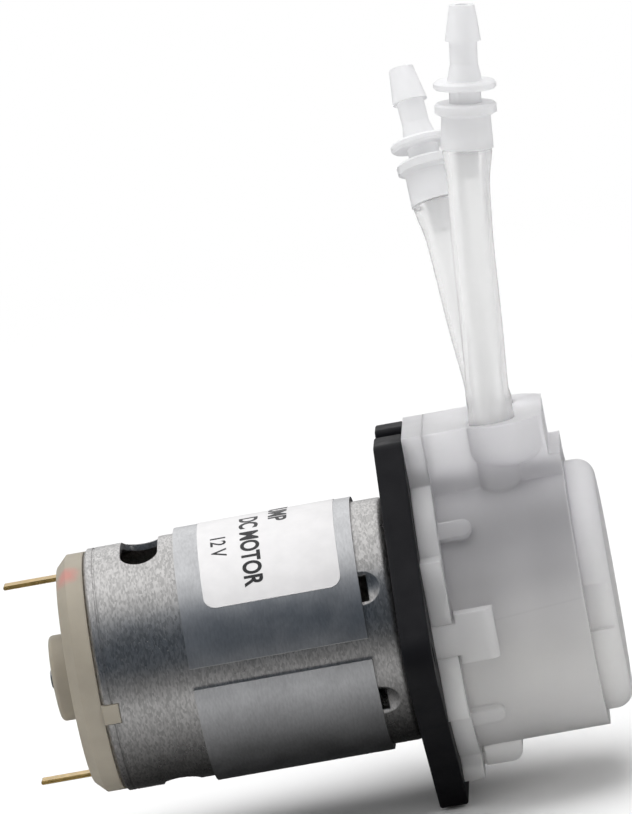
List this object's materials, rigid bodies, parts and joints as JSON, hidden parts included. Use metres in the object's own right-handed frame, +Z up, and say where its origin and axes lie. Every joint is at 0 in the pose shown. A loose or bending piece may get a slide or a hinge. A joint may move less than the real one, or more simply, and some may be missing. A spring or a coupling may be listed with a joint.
{
  "type": "peristaltic pump",
  "caption": "Small peristaltic dosing pump: round can motor, diamond mounting flange, milky snap-together roller head and hoses ending in luer-type barb fittings.",
  "frame": {"origin": "centre of the mounting flange's rear face, on the motor's axis", "axes": "+X along the shaft towards the pump head, +Z up along the hoses, +Y across the flange's ears"},
  "size_m": [0.0678, 0.056, 0.089],
  "materials": {
    "zinc_steel": "mottled zinc plate, satin",
    "ring_steel": "smooth rolled steel, satin",
    "label": "printed film, white",
    "ivory_plastic": "moulded, ivory",
    "terminal_brass": "stamped, polished",
    "carbon": "sintered carbon",
    "ferrite": "sintered ferrite, matt",
    "spring_steel": "spring strip",
    "core_steel": "stacked laminations",
    "copper_wire": "enamelled copper wire",
    "copper_bar": "turned copper",
    "shaft_steel": "ground steel",
    "bronze": "sintered bronze",
    "washer_plastic": "thin washer",
    "black_plastic": "moulded, black, fine grain",
    "screw_steel": "zinc-plated screw",
    "milky_plastic": "moulded, translucent milky white",
    "carrier_plastic": "moulded acetal, natural",
    "roller_plastic": "turned acetal",
    "silicone": "extruded silicone, translucent",
    "fitting_plastic": "moulded polypropylene, translucent"
  },
  "bodies": {
    "frame": {"motor_can": "zinc_steel", "flux_ring": "ring_steel", "rating_label": "label", "rear_end_cap": "ivory_plastic", "terminal_upper": "terminal_brass", "terminal_lower": "terminal_brass", "brush_arm_upper": "terminal_brass", "brush_arm_lower": "terminal_brass", "brush_upper": "carbon", "brush_lower": "carbon", "magnet_upper": "ferrite", "magnet_lower": "ferrite", "magnet_clips": "spring_steel", "front_bearing": "bronze", "rear_bearing": "bronze", "mounting_flange": "black_plastic", "motor_screws": "screw_steel", "head_base": "milky_plastic", "pump_housing": "milky_plastic", "front_cover": "milky_plastic", "pump_tube": "silicone", "inlet_hose": "silicone", "outlet_hose": "silicone", "inlet_luer_socket": "fitting_plastic", "inlet_barb_adapter": "fitting_plastic", "outlet_luer_socket": "fitting_plastic", "outlet_barb_adapter": "fitting_plastic"},
    "armature": {"armature_core": "core_steel", "armature_windings": "copper_wire", "commutator": "copper_bar", "motor_shaft": "shaft_steel", "thrust_washers": "washer_plastic", "drive_sleeve": "shaft_steel"},
    "carrier": {"carrier_rear_plate": "carrier_plastic", "carrier_front_plate": "carrier_plastic", "roller_pin_1": "shaft_steel", "roller_pin_2": "shaft_steel", "roller_pin_3": "shaft_steel"},
    "roller_body_1": {"roller_1": "roller_plastic"},
    "roller_body_2": {"roller_2": "roller_plastic"},
    "roller_body_3": {"roller_3": "roller_plastic"}
  },
  "joints": [
    {"name": "motor_spin", "type": "hinge", "parent": "frame", "child": "armature", "pos_m": [0, 0, 0], "axis": [1, 0, 0], "continuous": true},
    {"name": "carrier_spin", "type": "hinge", "parent": "frame", "child": "carrier", "pos_m": [0.0134, 0, 0], "axis": [1, 0, 0], "continuous": true, "deforming": ["pump_tube"]},
    {"name": "roller_1_spin", "type": "hinge", "parent": "carrier", "child": "roller_body_1", "pos_m": [0.0134, 0, 0.00665], "axis": [1, 0, 0], "continuous": true},
    {"name": "roller_2_spin", "type": "hinge", "parent": "carrier", "child": "roller_body_2", "pos_m": [0.0134, -0.00576, -0.00332], "axis": [1, 0, 0], "continuous": true},
    {"name": "roller_3_spin", "type": "hinge", "parent": "carrier", "child": "roller_body_3", "pos_m": [0.0134, 0.00576, -0.00332], "axis": [1, 0, 0], "continuous": true}
  ],
  "couplings": [
    {"joint": "carrier_spin", "follows": "motor_spin", "ratio": 0.1434},
    {"joint": "roller_1_spin", "follows": "motor_spin", "ratio": -0.3463},
    {"joint": "roller_2_spin", "follows": "motor_spin", "ratio": -0.3463},
    {"joint": "roller_3_spin", "follows": "motor_spin", "ratio": -0.3463}
  ]
}
